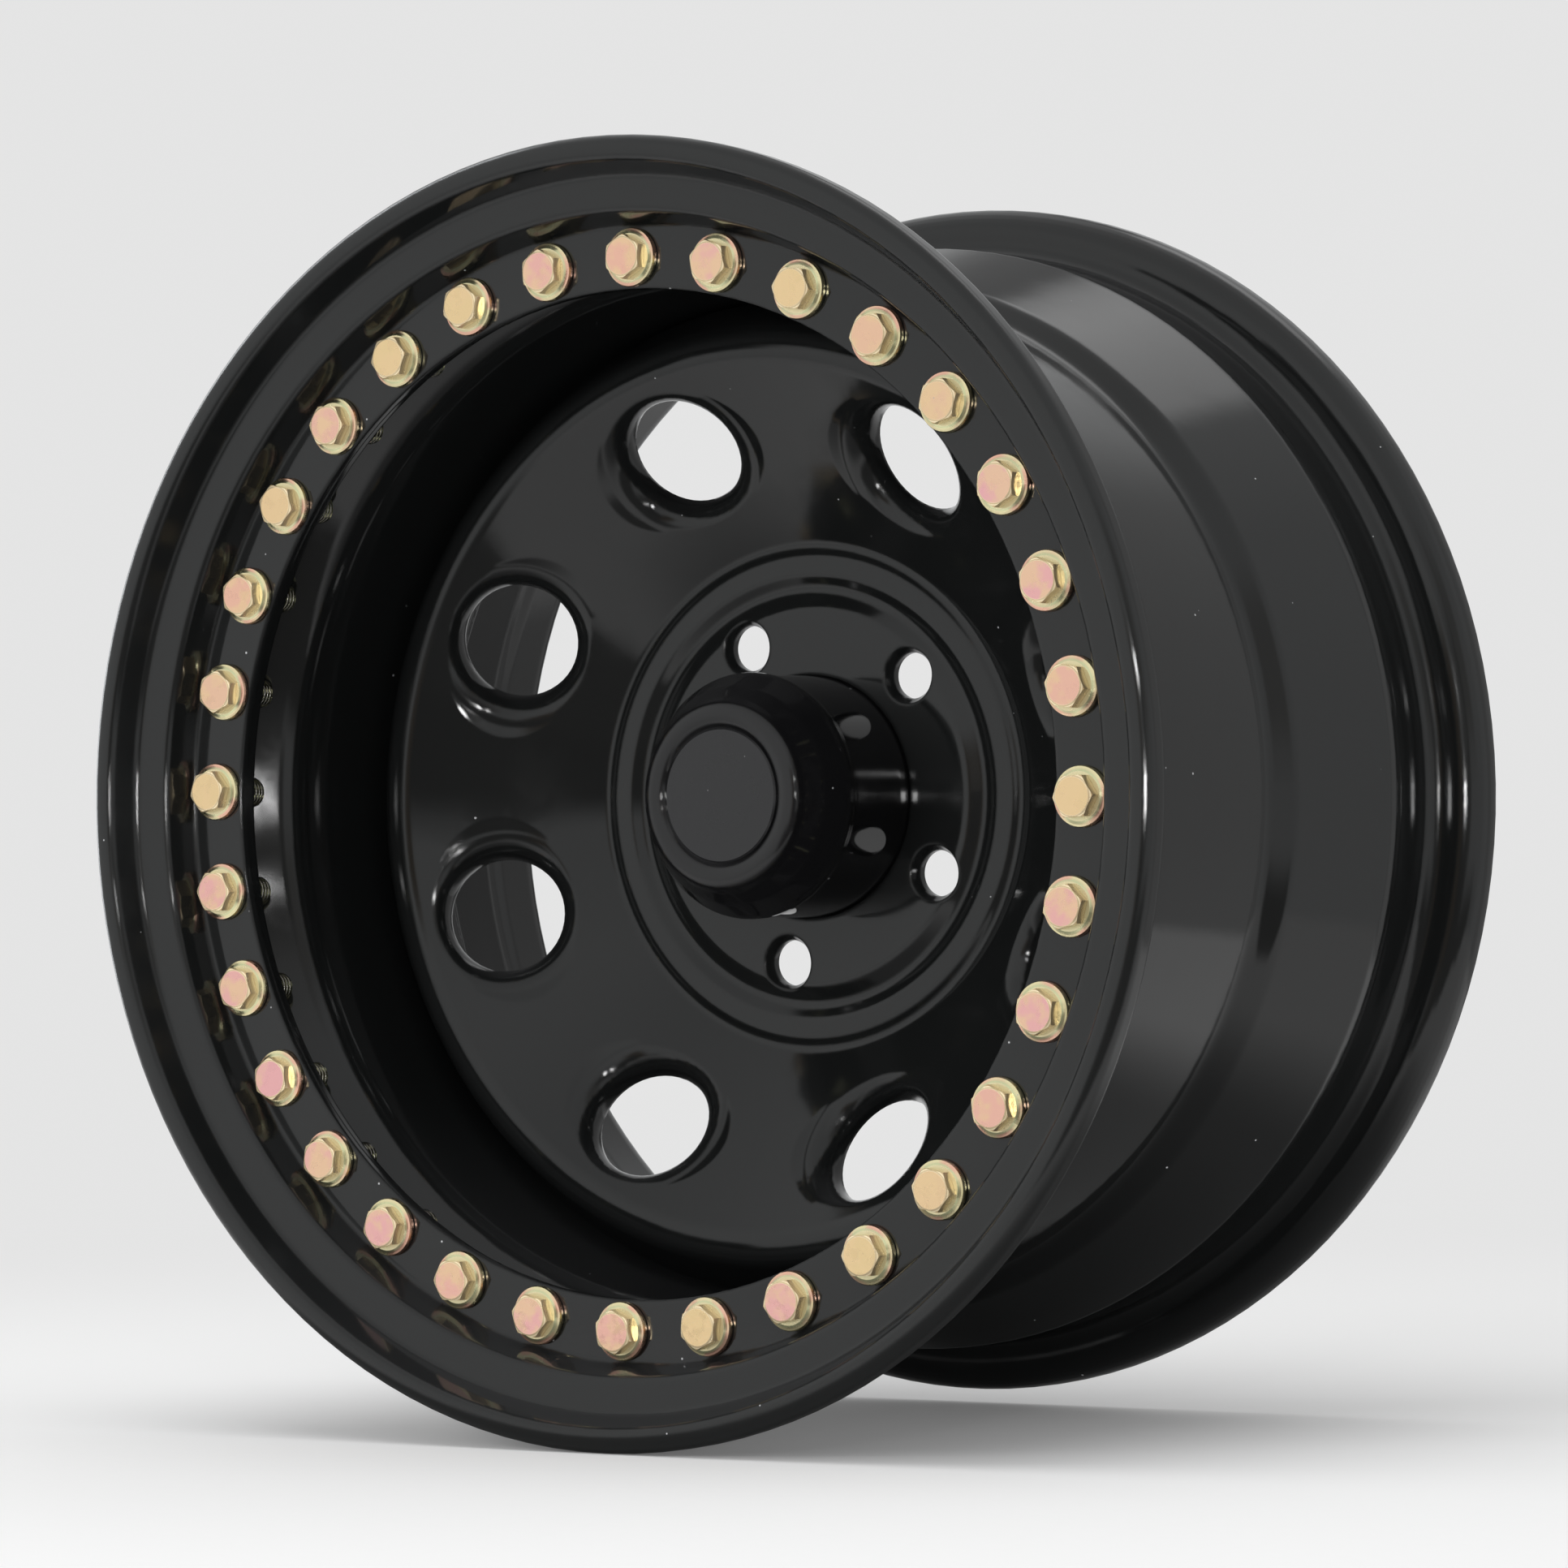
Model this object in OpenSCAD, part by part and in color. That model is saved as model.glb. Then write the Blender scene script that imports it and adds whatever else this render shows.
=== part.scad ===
// Steel beadlock wheel, 15 x 8 inch, five-stud, with a bolted outer clamp ring.
// The wheel axis is Y. The outer face looks towards -Y and the hub mounting
// face lies in the plane Y = 0, centred on the origin. Z is up.
// Profiles are drawn as [radius, depth], where depth grows inboard from the
// hub face, so a negative depth is in front of it.

/* [Part to show] */
// Which sub-part to build
// Facets round a full turn of the large turned parts
round_fn = 180; // [48:12:360]

/* [Rim barrel] */
// Outer radius of the two bead seats
seat_r = 190.1; // [185:0.1:195]
// Outer radius of the drop-centre well
well_r = 171.5; // [160:0.5:180]
// Sheet thickness of the rolled barrel
barrel_t = 3.5; // [2.5:0.1:5]
// Outer radius of the rear flange
flange_r = 207.5; // [200:0.5:212]
// Depth of the rear end of the barrel behind the hub face
rear_depth = 98.9; // [60:0.5:130]
// Length of the cone that climbs from the well to the rear seat
climb_len = 44; // [20:1:60]
// Bore for the tyre valve
valve_d = 11.5; // [10:0.1:16]
// Clock position of the valve bore, in degrees clockwise from the top
valve_angle = 96; // [0:1:359]

/* [Pressed disc] */
// Plate thickness of the disc
disc_t = 6; // [4:0.5:9]
// Radius of the flat pad that carries the studs
pad_r = 64; // [60:0.5:68]
// Radius of the centre bore
bore_r = 41.5; // [30:0.1:45]
// Radius of the bottom of the groove round the pad
groove_r = 70.5; // [66:0.5:74]
// Depth of that groove, coined into the front of the sheet
groove_h = 3; // [1:0.1:4]
// Inner radius of the raised band outside the groove
crest_in_r = 75.4; // [72:0.1:80]
// Outer radius of the raised band
crest_out_r = 82; // [78:0.1:84]
// Radius where the bowl starts, at the foot of the raised band
bowl_r = 85.2; // [84:0.1:95]
// How far the bowl starts behind the front of the pad
bowl_drop = 1.9; // [0:0.1:6]
// Slope of the bowl in degrees
bowl_slope = 31.7; // [15:0.1:45]
// Radius of the shoulder corner where the bowl turns back
shoulder_r = 153.4; // [140:0.1:160]

/* [Window holes] */
// Number of flared holes
hole_count = 8; // [4:1:12]
// Radius of the circle on which the flared holes lie
hole_circle_r = 120.9; // [110:0.1:130]
// Radius of the clear opening
hole_r = 19.8; // [12:0.1:24]
// Radius of the rolled flare
flare_r = 9; // [4:0.5:14]
// Clock position of the first hole, in degrees clockwise from the top
hole_angle = -17.9; // [-45:0.1:45]

/* [Studs] */
// Number of stud holes
lug_count = 5; // [4:1:8]
// Diameter of the stud circle
lug_pcd = 114.3; // [100:0.1:140]
// Diameter of each stud hole
lug_d = 15.5; // [12:0.1:20]
// Diameter of the cone seat at the front of each stud hole
lug_seat_d = 19.4; // [16:0.1:26]
// Clock position of the first stud hole, in degrees clockwise from the top
lug_angle = -26; // [-36:0.1:36]

/* [Beadlock rings] */
// Radius of the bolt circle
bolt_circle_r = 174.5; // [165:0.1:180]
// Number of ring bolts
bolt_count = 32; // [16:1:40]
// Clock position of the first bolt, in degrees clockwise from the top
bolt_angle = 1.7; // [0:0.1:11]
// Depth of the bolt seat plane in front of the hub face
bolt_seat = 108.6; // [90:0.5:130]
// Inner radius of the clamp ring
clamp_in_r = 164.4; // [160:0.1:170]
// Outer radius of the clamp ring lip
clamp_out_r = 212.5; // [205:0.1:216]
// Thickness of the clamp ring where the bolts sit
clamp_t = 4; // [3:0.5:8]
// How far the lip stands in front of the bolt seat
lip_h = 22.4; // [10:0.1:28]
// Inner radius of the welded mount ring
mount_in_r = 166.5; // [160:0.1:170]
// Thickness of the welded mount ring
mount_t = 6; // [4:0.5:12]

/* [Ring bolts] */
// Thread diameter of the flange bolts
bolt_d = 9.5; // [6:0.1:12]
// Length of the bolt under its flange
bolt_len = 19.8; // [12:0.1:40]
// Width of the hexagon across its flats
hex_af = 12.7; // [10:0.1:18]
// Height of the bolt head with its flange
head_h = 6.7; // [5:0.1:12]
// Diameter of the bolt flange
bolt_flange_d = 19.4; // [15:0.1:24]

/* [Centre cap] */
// Radius of the cap where it comes through the disc
cap_base_r = 41; // [30:0.1:44]
// Radius of the cap's front rim
cap_front_r = 32.1; // [20:0.1:38]
// Distance from the hub face to the front of the rim
cap_len = 59; // [30:0.1:90]
// Wall thickness of the cap
cap_t = 2; // [1:0.1:4]
// Radius of the round plate on the cap
plate_r = 22.4; // [10:0.1:28]

/* [Hidden] */
black = [0.05, 0.05, 0.055];
zinc = [0.83, 0.72, 0.42];
weld_black = [0.06, 0.06, 0.065];
tan_bowl = tan(bowl_slope);
pad_z = -disc_t;
bowl_z = pad_z + bowl_drop;
shoulder_z = bowl_z - (shoulder_r - bowl_r) * tan_bowl;
well_in_r = well_r - barrel_t;
hole_z = bowl_z - (hole_circle_r - bowl_r) * tan_bowl;
mount_front = clamp_t - bolt_seat;
barrel_front = mount_front + mount_t;
lip_front = -bolt_seat - lip_h;
flange_curl = 9.5;
wall_z = rear_depth - 15;
hump_z = rear_depth - 41.5;
step_z = hump_z - climb_len;
disc_end = -0.6;
bolt_step = 360 / bolt_count;
cap_front = -cap_len;

// Unit vector along v.
function unit(v) = v / norm(v);

// Sum of two directions' turn, positive for a left turn.
function turn(a, b) = a.x * b.y - a.y * b.x;

// Shortest signed angle from a to b.
function swing(a, b) = ((b - a + 540) % 360) - 180;

// Points of the arc of radius r that rounds the corner b between a and c.
function corner(a, b, c, r, n = 7) =
    r <= 0 ? [b] :
    let (u = unit(a - b), v = unit(c - b))
    let (half = acos(u * v) / 2)
    let (p = b + u * r / tan(half), q = b + v * r / tan(half))
    let (m = b + unit(u + v) * r / sin(half))
    let (a0 = atan2(p.y - m.y, p.x - m.x), a1 = atan2(q.y - m.y, q.x - m.x))
    [for (i = [0:n]) m + r * [cos(a0 + swing(a0, a1) * i / n),
                              sin(a0 + swing(a0, a1) * i / n)]];

// First two values of a corner given as [x, y, radius].
function flat(p) = [p.x, p.y];

// An open path through corners given as [x, y, radius].
function rounded(pts) =
    let (last = len(pts) - 1)
    [for (i = [0:last]) each
        i == 0 || i == last ? [flat(pts[i])] :
        corner(flat(pts[i - 1]), flat(pts[i]), flat(pts[i + 1]), pts[i].z)];

// A closed outline through corners given as [x, y, radius].
function rounded_loop(pts) =
    let (n = len(pts))
    [for (i = [0:n - 1]) each
        corner(flat(pts[(i + n - 1) % n]), flat(pts[i]),
               flat(pts[(i + 1) % n]), pts[i].z)];

// The same corners moved t to the left of the path, with matching radii.
function beside(pts, t) =
    let (last = len(pts) - 1)
    [for (i = [0:last])
        let (b = flat(pts[i]))
        let (d1 = unit(i == 0 ? flat(pts[1]) - b : b - flat(pts[i - 1])))
        let (d2 = unit(i == last ? b - flat(pts[i - 1]) : flat(pts[i + 1]) - b))
        let (n1 = [-d1.y, d1.x], n2 = [-d2.y, d2.x])
        let (m = b + t * (n1 + n2) / (1 + n1 * n2))
        [m.x, m.y, pts[i].z <= 0 ? 0 : max(0.3, pts[i].z - sign(turn(d1, d2)) * t)]];

// The list back to front.
function backwards(v) = [for (i = [len(v) - 1:-1:0]) v[i]];

// A sheet outline of thickness t along a rounded path.
function sheet(pts, t) = concat(rounded(pts), backwards(rounded(beside(pts, t))));

// Turns a [radius, depth] outline about the wheel axis.
module turned(points) {
    rotate([-90, 0, 0])
        rotate_extrude($fn = round_fn)
            polygon(points);
}

// Puts children, drawn at the origin with +Z inboard and +X outward, at a
// clock position, a radius and a depth on the wheel.
module at_clock(angle, r, depth) {
    rotate([-90, 0, 0])
        rotate([0, 0, angle - 90])
            translate([r, 0, depth])
                children();
}

// Repeats children round the wheel.
module around(count, first, r, depth) {
    for (i = [0:count - 1])
        at_clock(first + i * 360 / count, r, depth)
            children();
}

// Outer face of the barrel from the mount ring to the rear lip.
barrel_path = [
    [seat_r, barrel_front, 0],
    [seat_r, barrel_front + 2.5, 1.5],
    [seat_r + 0.9, barrel_front + 5, 2.5],
    [seat_r + 0.9, barrel_front + 8, 3],
    [well_r, barrel_front + 25, 9],
    [well_r, step_z - 5, 8],
    [well_r + 6.5, step_z + 2, 8],
    [seat_r - 0.5, hump_z - 6, 20],
    [seat_r + 0.8, hump_z - 2, 3],
    [seat_r + 0.8, hump_z + 2, 3],
    [seat_r, hump_z + 6, 6],
    [seat_r, wall_z, 6],
    [flange_r, wall_z, flange_curl],
    [flange_r, rear_depth - 1.5, 4],
    [flange_r - 1.6, rear_depth, 0]
];

module rim_barrel() {
    slope_len = norm([seat_r + 0.9 - well_r, 17]);
    slope_turn = atan2(seat_r + 0.9 - well_r, 17);
    color(black)
        difference() {
            turned(sheet(barrel_path, barrel_t));
            at_clock(valve_angle, (seat_r + well_r) / 2, barrel_front + 16.5)
                rotate([0, 90 - slope_turn, 0])
                    cylinder(d = valve_d, h = slope_len, center = true, $fn = 48);
        }
}

// Front face of the disc from the centre bore to its welded rim.
disc_path = [
    [bore_r, pad_z, 0],
    [pad_r, pad_z, 5],
    [groove_r, pad_z + groove_h, 3.5],
    [crest_in_r, pad_z, 2.2],
    [crest_out_r, pad_z, 2.4],
    [bowl_r, bowl_z, 3],
    [shoulder_r, shoulder_z, 9.5],
    [well_in_r, shoulder_z + 26.5, 8],
    [well_in_r, disc_end, 0]
];

// The back of the sheet: flat behind the pad and its band, where it meets the
// hub, and one sheet thickness behind the front from there on.
disc_offset = beside(disc_path, disc_t);
disc_back = [
    [bore_r, 0, 0],
    [bowl_r + (bowl_z + disc_t / cos(bowl_slope)) / tan_bowl, 0, 6],
    disc_offset[6],
    disc_offset[7],
    disc_offset[8]
];

// The trumpet that opens a flared hole: a rolled quarter round from the clear
// opening up to the bowl, then a rise that follows the bowl's curve.
module flare_cutter() {
    lift = 1;
    rotate_extrude($fn = 72)
        polygon(concat(
            [[0, -12], [44, -12], [41, -6.8], [36, -3.4]],
            [for (a = [0:9:90])
                [hole_r + flare_r - flare_r * sin(a), flare_r - lift - flare_r * cos(a)]],
            [[hole_r, 30], [0, 30]]
        ));
}

// The rolled collar that a flared hole leaves behind the plate.
module flare_collar() {
    depth = flare_r + 0.5;
    wall = 3.5;
    rotate_extrude($fn = 72)
        polygon([
            [0, 0],
            [hole_r + 5, 0],
            [hole_r + 11, 4],
            [hole_r + wall + 3, depth - 1.6],
            [hole_r + wall, depth],
            [0, depth]
        ]);
}

module lug_cutter() {
    cone_h = (lug_seat_d - lug_d) / 2 / tan(30);
    translate([0, 0, -1])
        cylinder(d = lug_d, h = disc_t + 2, $fn = 48);
    translate([0, 0, -0.01])
        cylinder(d1 = lug_seat_d, d2 = lug_d, h = cone_h, $fn = 48);
}

module wheel_disc() {
    color(black)
        difference() {
            union() {
                turned(concat(rounded(disc_path), backwards(rounded(disc_back))));
                around(hole_count, hole_angle, hole_circle_r, hole_z)
                    rotate([0, bowl_slope, 0])
                        flare_collar();
            }
            around(hole_count, hole_angle, hole_circle_r, hole_z)
                rotate([0, bowl_slope, 0])
                    flare_cutter();
            around(lug_count, lug_angle, lug_pcd / 2, pad_z)
                lug_cutter();
            turned([[0, -2], [bore_r + 2.5, -2], [bore_r + 2.5, 1], [0, 1]]);
        }
}

module mount_ring() {
    edge = 0.8;
    outline = [
        [mount_in_r + edge, mount_front],
        [seat_r - edge, mount_front],
        [seat_r, mount_front + edge],
        [seat_r, barrel_front],
        [mount_in_r + edge, barrel_front],
        [mount_in_r, barrel_front - edge],
        [mount_in_r, mount_front + edge]
    ];
    color(black)
        difference() {
            turned(outline);
            around(bolt_count, bolt_angle, bolt_circle_r, mount_front - 1)
                cylinder(d = bolt_d, h = mount_t + 2, $fn = 32);
        }
}

// Corners of the clamp ring section, front face first: the flat that carries
// the bolts, a step up to a narrow band, then the steep wall of the lip.
clamp_outline = [
    [clamp_in_r, -bolt_seat, 0.9],
    [clamp_in_r + 20.7, -bolt_seat, 1.2],
    [clamp_in_r + 24.3, -bolt_seat - 11.2, 2.6],
    [clamp_in_r + 35.8, -bolt_seat - 12.2, 2.4],
    [clamp_in_r + 40.4, lip_front, 3],
    [clamp_out_r, lip_front, 4.2],
    [clamp_out_r, lip_front + 9.2, 1],
    [clamp_out_r - 8, lip_front + 9.2, 2],
    [clamp_in_r + 39, -bolt_seat - 8, 2],
    [clamp_in_r + 28.4, -bolt_seat - 7.6, 3],
    [clamp_in_r + 25.2, clamp_t - bolt_seat, 0.8],
    [clamp_in_r, clamp_t - bolt_seat, 0.6]
];

module clamp_ring() {
    clearance = 0.8;
    color(black)
        difference() {
            turned(rounded_loop(clamp_outline));
            around(bolt_count, bolt_angle, bolt_circle_r, -bolt_seat - 1)
                cylinder(d = bolt_d + clearance, h = clamp_t + 2, $fn = 32);
        }
}

// One hexagon flange bolt, seated at z = 0 with its thread towards +Z.
module flange_bolt(spin) {
    flange_edge = 2.2;
    flange_rise = 0.5;
    edge_r = bolt_flange_d / 2;
    hex_r = hex_af / 2 / cos(30);
    foot_r = hex_r + 0.4;
    face_r = hex_af / 2 - 0.4;
    chamfer = 0.9;
    tip = 1.2;
    rotate_extrude($fn = 48)
        polygon([
            [0, 0],
            [edge_r - 0.4, 0],
            [edge_r, -0.4],
            [edge_r, -flange_edge + 0.8],
            [edge_r - 0.3, -flange_edge + 0.2],
            [edge_r - 0.9, -flange_edge],
            [foot_r, -flange_edge - flange_rise],
            [0, -flange_edge - flange_rise]
        ]);
    intersection() {
        rotate([0, 0, spin])
            translate([0, 0, -head_h])
                cylinder(r = hex_r, h = head_h - 1, $fn = 6);
        union() {
            translate([0, 0, -head_h + chamfer])
                cylinder(r = hex_r + 1, h = head_h, $fn = 48);
            translate([0, 0, -head_h])
                cylinder(r1 = face_r, r2 = hex_r + 1, h = chamfer, $fn = 48);
        }
    }
    cylinder(d = bolt_d, h = bolt_len - tip, $fn = 32);
    translate([0, 0, bolt_len - tip])
        cylinder(d1 = bolt_d, d2 = bolt_d - 2, h = tip, $fn = 32);
}

module ring_bolts() {
    color(zinc)
        for (i = [0:bolt_count - 1])
            at_clock(bolt_angle + i * bolt_step, bolt_circle_r, -bolt_seat)
                flange_bolt(i * 37 % 60);
}

// Continuous fillet weld between the mount ring and the barrel's front end.
module ring_weld() {
    leg = 3.2;
    r = seat_r - barrel_t;
    color(weld_black)
        turned([
            [r, barrel_front],
            [r, barrel_front + leg * 0.75],
            [r - leg * 0.55, barrel_front + leg * 0.62],
            [r - leg, barrel_front]
        ]);
}

// Eight fillet beads between the disc's rim and the inside of the well.
module disc_welds() {
    leg = 4;
    span = 30;
    color(weld_black)
        for (i = [0:7])
            rotate([-90, 0, 0])
                rotate([0, 0, i * 45 + 7.5])
                    rotate_extrude(angle = span, $fn = round_fn)
                        polygon([
                            [well_in_r, disc_end],
                            [well_in_r, disc_end + leg],
                            [well_in_r - leg * 0.72, disc_end + leg * 0.68],
                            [well_in_r - leg, disc_end]
                        ]);
}

// Outer face of the cap, from the middle of its front to its rear lip.
cap_corners = [
    [plate_r + 0.3, cap_front + 2.4, 0],
    [plate_r + 1.6, cap_front + 0.8, 1],
    [cap_front_r - 4.6, cap_front, 6],
    [cap_front_r - 1.1, cap_front + 1.2, 3],
    [cap_front_r + 0.6, cap_front + 4.2, 2],
    [cap_base_r - 4.5, cap_front + 9, 6],
    [cap_base_r + 0.3, cap_front + 17, 5],
    [cap_base_r + 0.3, cap_front + 20, 1],
    [cap_base_r - 0.6, cap_front + 21.5, 1],
    [cap_base_r, cap_front + 48, 20],
    [cap_base_r, -1.5, 0]
];

module centre_cap() {
    floor_z = cap_front + 2.4;
    lip = 1.4;
    body = concat(
        [[0, floor_z]],
        rounded(cap_corners),
        [[cap_base_r + 2.5, -1.5], [cap_base_r + 2.5, -1.5 + lip],
         [cap_base_r - cap_t, -1.5 + lip]],
        [[cap_base_r - cap_t - 0.4, cap_front + 20], [cap_base_r - cap_t - 1, cap_front + 17],
         [cap_base_r - 6.8, cap_front + 10], [cap_front_r - 1.6, cap_front + 5.5],
         [plate_r, floor_z + cap_t], [0, floor_z + cap_t]]
    );
    color(black)
        turned(body);
}

// Bare round plate bonded in the middle of the cap's face.
module cap_plate() {
    plate_t = 1.2;
    floor_z = cap_front + 2.4;
    color([0.12, 0.12, 0.125])
        turned([
            [0, floor_z - plate_t - 0.3],
            [plate_r * 0.55, floor_z - plate_t - 0.2],
            [plate_r - 0.5, floor_z - plate_t],
            [plate_r, floor_z - plate_t + 0.5],
            [plate_r, floor_z],
            [0, floor_z]
        ]);
}

rim_barrel();
wheel_disc();
mount_ring();
clamp_ring();
ring_bolts();
ring_weld();
disc_welds();
centre_cap();
cap_plate();
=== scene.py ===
"""Finish and studio for a steel beadlock wheel.

Gloss paint, plated bolts, rolled threads, rippled weld beads, lamps and camera.
"""
import math

import bpy
from bpy.props import FloatProperty, FloatVectorProperty, PointerProperty
from mathutils import Matrix, Vector


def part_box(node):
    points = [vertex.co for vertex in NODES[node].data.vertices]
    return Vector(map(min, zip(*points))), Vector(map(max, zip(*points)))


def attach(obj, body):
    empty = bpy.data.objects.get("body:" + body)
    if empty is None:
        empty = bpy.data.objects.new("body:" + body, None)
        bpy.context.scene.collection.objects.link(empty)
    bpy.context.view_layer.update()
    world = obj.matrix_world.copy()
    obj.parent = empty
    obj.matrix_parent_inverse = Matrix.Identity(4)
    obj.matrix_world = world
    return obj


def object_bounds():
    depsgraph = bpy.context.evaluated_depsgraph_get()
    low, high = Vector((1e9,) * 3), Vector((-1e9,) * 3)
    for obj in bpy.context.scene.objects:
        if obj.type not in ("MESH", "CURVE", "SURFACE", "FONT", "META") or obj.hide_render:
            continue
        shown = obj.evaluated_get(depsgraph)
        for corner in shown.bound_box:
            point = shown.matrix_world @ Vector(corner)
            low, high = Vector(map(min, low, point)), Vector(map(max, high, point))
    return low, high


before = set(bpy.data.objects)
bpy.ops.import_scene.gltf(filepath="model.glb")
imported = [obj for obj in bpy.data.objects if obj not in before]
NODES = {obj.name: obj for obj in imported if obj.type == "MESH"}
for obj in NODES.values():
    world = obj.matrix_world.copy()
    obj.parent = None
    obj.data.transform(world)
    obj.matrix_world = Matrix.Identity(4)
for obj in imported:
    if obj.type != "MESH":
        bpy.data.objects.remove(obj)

bl_info = {
    "name": "Beadlock wheel finish",
    "version": (1, 0, 0),
    "blender": (4, 5, 0),
    "location": "3D View > Sidebar > Wheel",
    "description": "Paints and plates a packed beadlock wheel, adds its threads and weld beads, "
                   "and sets a pale studio round it",
    "category": "Object",
}

CAD_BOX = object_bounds()
MM = 0.001
TURN = 2 * math.pi

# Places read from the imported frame, in metres.
BOLT_LOW, BOLT_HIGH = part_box("ring_bolts")
DISC_WELD_LOW, DISC_WELD_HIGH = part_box("disc_welds")
RING_WELD_LOW, RING_WELD_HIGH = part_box("ring_weld")
MOUNT_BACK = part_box("mount_ring")[1].y

# The ring bolts as the solids have them: number, radius of their circle, turn of the first one from the
# top, radius of the rod, and the length of its tip that carries no thread.
BOLT_COUNT = 32
BOLT_CIRCLE = 174.5 * MM
FIRST_BOLT = math.radians(1.7)
BOLT_ROD = 4.75 * MM
BARE_TIP = 1.4 * MM

# Bounds of the parts of a bolt head, each as a pair over which one part fades into the next.
HEAD_FACE = BOLT_LOW.y
FACE_RADII = (6.1 * MM, 5.85 * MM)
FACE_DEPTHS = (HEAD_FACE + 0.2 * MM, HEAD_FACE + 0.05 * MM)
FLANGE_DEPTHS = (HEAD_FACE + 3.9 * MM, HEAD_FACE + 4.1 * MM)
# The green band at the hexagon's foot is partly the plating's own hue and partly painted shade in that corner.
GREEN_SHADE_RADII = (8.7 * MM, 8.1 * MM)

# The weld beads: how far inside the plain fillets their ripples run, and the arcs of the disc's welds.
RING_BEAD_IN, RING_BEAD_BACK = 4.7 * MM, 0.9 * MM
DISC_BEAD_IN, DISC_BEAD_BACK = 1.35 * MM, 1.35 * MM
DISC_BEADS = 8
DISC_BEAD_SWEEP = math.radians(29)
DISC_BEAD_START = math.radians(8)

# Colours that are not settings, from 0 to 1 in red, green and blue.
WELD_BLACK = (0.009, 0.009, 0.010)
CAP_BLACK = (0.006, 0.006, 0.0065)
PLATE_DARK, PLATE_PALE = (0.010, 0.010, 0.011), (0.018, 0.018, 0.019)
FILM_GREY = (0.12, 0.12, 0.125)
PAINT_SPECK = (0.55, 0.56, 0.57)
BOLT_SPECK = (0.5, 0.5, 0.48)
PLATE_SPECK = (0.4, 0.4, 0.4)
FACE_MOTTLE = (0.96, 0.70, 0.40)
# Painted shade on the hexagon's chamfer and sides, and the painted highlight of the stripes across them.
SIDE_SHADE, SIDE_HIGHLIGHT = (0.56, 0.40, 0.21), (1.0, 0.86, 0.58)
# The threads' grey, darker than the plating, is partly the bare tips' greyer zinc and partly painted shade
# behind the mount ring.
SHADED_THREAD_DARK, SHADED_THREAD_PALE = (0.30, 0.29, 0.27), (0.42, 0.40, 0.34)

# Blur of the reflections where no setting gives it, and how much smudges and specks add to it.
WELD_ROUGHNESS = 0.14
CAP_ROUGHNESS = 0.05
PLATE_ROUGHNESS = (0.22, 0.32)
SMUDGED_PAINT = (1.5, 0.02)
SMUDGED_ZINC = 0.14
SPECK_ROUGHNESS = 0.75

# Widths of the plating's mottle and tint, of the painted highlight stripes on the hexagon's sides, and of the
# turning marks and dents, and depths of the last two.
MOTTLE_WIDTH = 7 * MM
TINT_WIDTH = 11 * MM
HIGHLIGHT_STRIPE_WIDTH = 0.55 * MM
MARK_WIDTH, MARK_DEPTH = 0.35 * MM, 0.004 * MM
DENT_WIDTH, DENT_DEPTH = 2.4 * MM, 0.035 * MM
SPUN_WIDTH, SPUN_DEPTH = 0.25 * MM, 0.002 * MM
SPECK_HEIGHT = 0.05 * MM
PATCH_BOUNDS = (0.42, 0.60)


# ---------------------------------------------------------------- settings

class WheelPaintSettings(bpy.types.PropertyGroup):
    """Gloss black paint of the steel parts."""
    colour: FloatVectorProperty(
        name="Paint colour", description="Colour of the black paint", subtype="COLOR",
        size=3, min=0, max=1, default=(0.0075, 0.008, 0.008))
    roughness: FloatProperty(
        name="Paint roughness", description="Blur of the reflections on the steel parts",
        min=0, max=1, default=0.07)
    peel_size: FloatProperty(
        name="Orange peel size", description="Width of the fine ripples that spraying leaves",
        subtype="DISTANCE", unit="LENGTH", min=0.0002, max=0.02, default=0.0022)
    peel_depth: FloatProperty(
        name="Orange peel depth", description="Height of those ripples",
        subtype="DISTANCE", unit="LENGTH", min=0, max=0.0005, default=0.0000016)
    wave_size: FloatProperty(
        name="Sheet wave size", description="Width of the slow waves in the rolled sheet",
        subtype="DISTANCE", unit="LENGTH", min=0.005, max=0.2, default=0.028)
    wave_depth: FloatProperty(
        name="Sheet wave depth", description="Height of those waves",
        subtype="DISTANCE", unit="LENGTH", min=0, max=0.002, default=0.00006)
    edge_blend: FloatProperty(
        name="Edge blend", description="How far the paint's shading runs round an edge",
        subtype="DISTANCE", unit="LENGTH", min=0, max=0.01, default=0.0018)
    dust: FloatProperty(
        name="Dust", description="Share of the dust cells that hold a speck",
        min=0, max=1, default=0.22)


class WheelBoltSettings(bpy.types.PropertyGroup):
    """Yellow zinc plating and rolled threads of the ring bolts."""
    peach: FloatVectorProperty(
        name="Peach plating", description="Commonest colour of the head faces",
        subtype="COLOR", size=3, min=0, max=1, default=(0.96, 0.57, 0.42))
    pink: FloatVectorProperty(
        name="Pink plating", description="Pinkest colour of the head faces",
        subtype="COLOR", size=3, min=0, max=1, default=(0.95, 0.50, 0.52))
    gold: FloatVectorProperty(
        name="Gold plating", description="Yellowest colour of the head faces",
        subtype="COLOR", size=3, min=0, max=1, default=(0.93, 0.70, 0.38))
    rim: FloatVectorProperty(
        name="Flange plating", description="Pale colour of the bolt flanges",
        subtype="COLOR", size=3, min=0, max=1, default=(0.93, 0.84, 0.50))
    # This green is partly the plating's own hue and partly painted shade at the hexagon's foot.
    green: FloatVectorProperty(
        name="Green plating", description="Greenish colour near the foot of the hexagon",
        subtype="COLOR", size=3, min=0, max=1, default=(0.74, 0.78, 0.46))
    roughness: FloatProperty(
        name="Plating roughness", description="Blur of the reflections on the bolts",
        min=0, max=1, default=0.20)
    pitch: FloatProperty(
        name="Thread pitch", description="Distance between two turns of the thread",
        subtype="DISTANCE", unit="LENGTH", min=0.0005, max=0.003, default=0.0015)
    ridge: FloatProperty(
        name="Thread ridge", description="Half width of the thread's ridge",
        subtype="DISTANCE", unit="LENGTH", min=0.0001, max=0.001, default=0.0005)


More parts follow.
